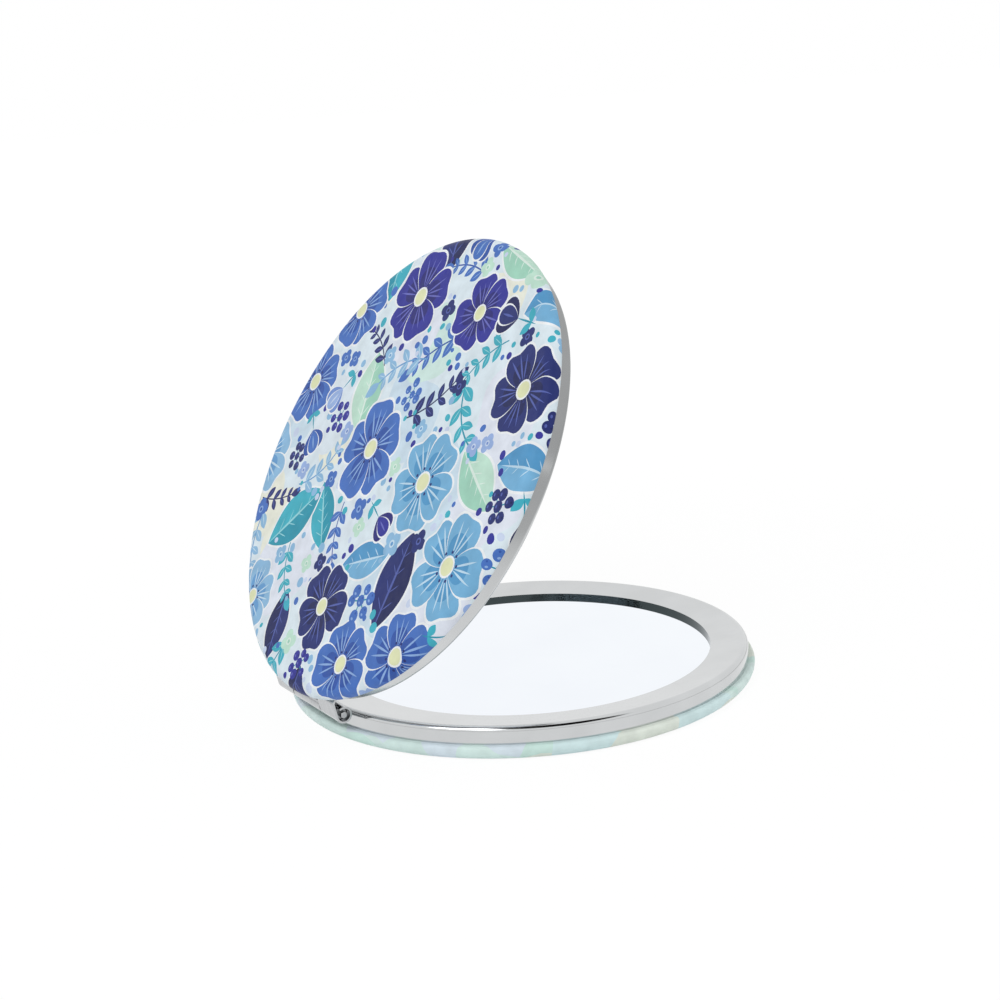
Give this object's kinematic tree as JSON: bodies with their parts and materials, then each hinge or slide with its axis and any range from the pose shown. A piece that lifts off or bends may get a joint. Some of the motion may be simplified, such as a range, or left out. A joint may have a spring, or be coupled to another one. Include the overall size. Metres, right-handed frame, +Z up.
{
  "type": "compact mirror",
  "caption": "Round folding pocket mirror: a padded printed cover, a chromed frame and a mirror in each half, joined by a rolled sheet hinge that holds the lid where it is put.",
  "frame": {"origin": "centre of the base's underside, on the surface that it rests on", "axes": "+Z up through the base's mirror, hinge on the -X side with its axis along Y, lid standing open as in the picture"},
  "size_m": [0.0734, 0.07, 0.0661],
  "materials": {
    "printed_leather": "satin",
    "foam": "matte",
    "board": "matte",
    "tape": "matte",
    "steel": "satin",
    "chrome": "polished",
    "magnet": "satin",
    "mirror_glass": "polished"
  },
  "bodies": {
    "base": {"base_cover": "printed_leather", "base_foam": "foam", "base_board": "board", "base_cover_tape": "tape", "base_tray": "steel", "base_hinge_leaf": "chrome", "base_magnet": "magnet", "base_mirror_tape": "tape", "base_mirror": "mirror_glass", "base_frame": "chrome"},
    "lid": {"lid_cover": "printed_leather", "lid_foam": "foam", "lid_board": "board", "lid_cover_tape": "tape", "lid_tray": "steel", "lid_hinge_leaf": "chrome", "lid_magnet": "magnet", "lid_mirror_tape": "tape", "lid_mirror": "mirror_glass", "lid_frame": "chrome", "hinge_pin": "steel"}
  },
  "joints": [
    {"name": "lid_hinge", "type": "hinge", "parent": "base", "child": "lid", "pos_m": [-0.0349, 0, 0.0048], "axis": [0, -1, 0], "range_deg": [-58.2, 106.8]}
  ]
}
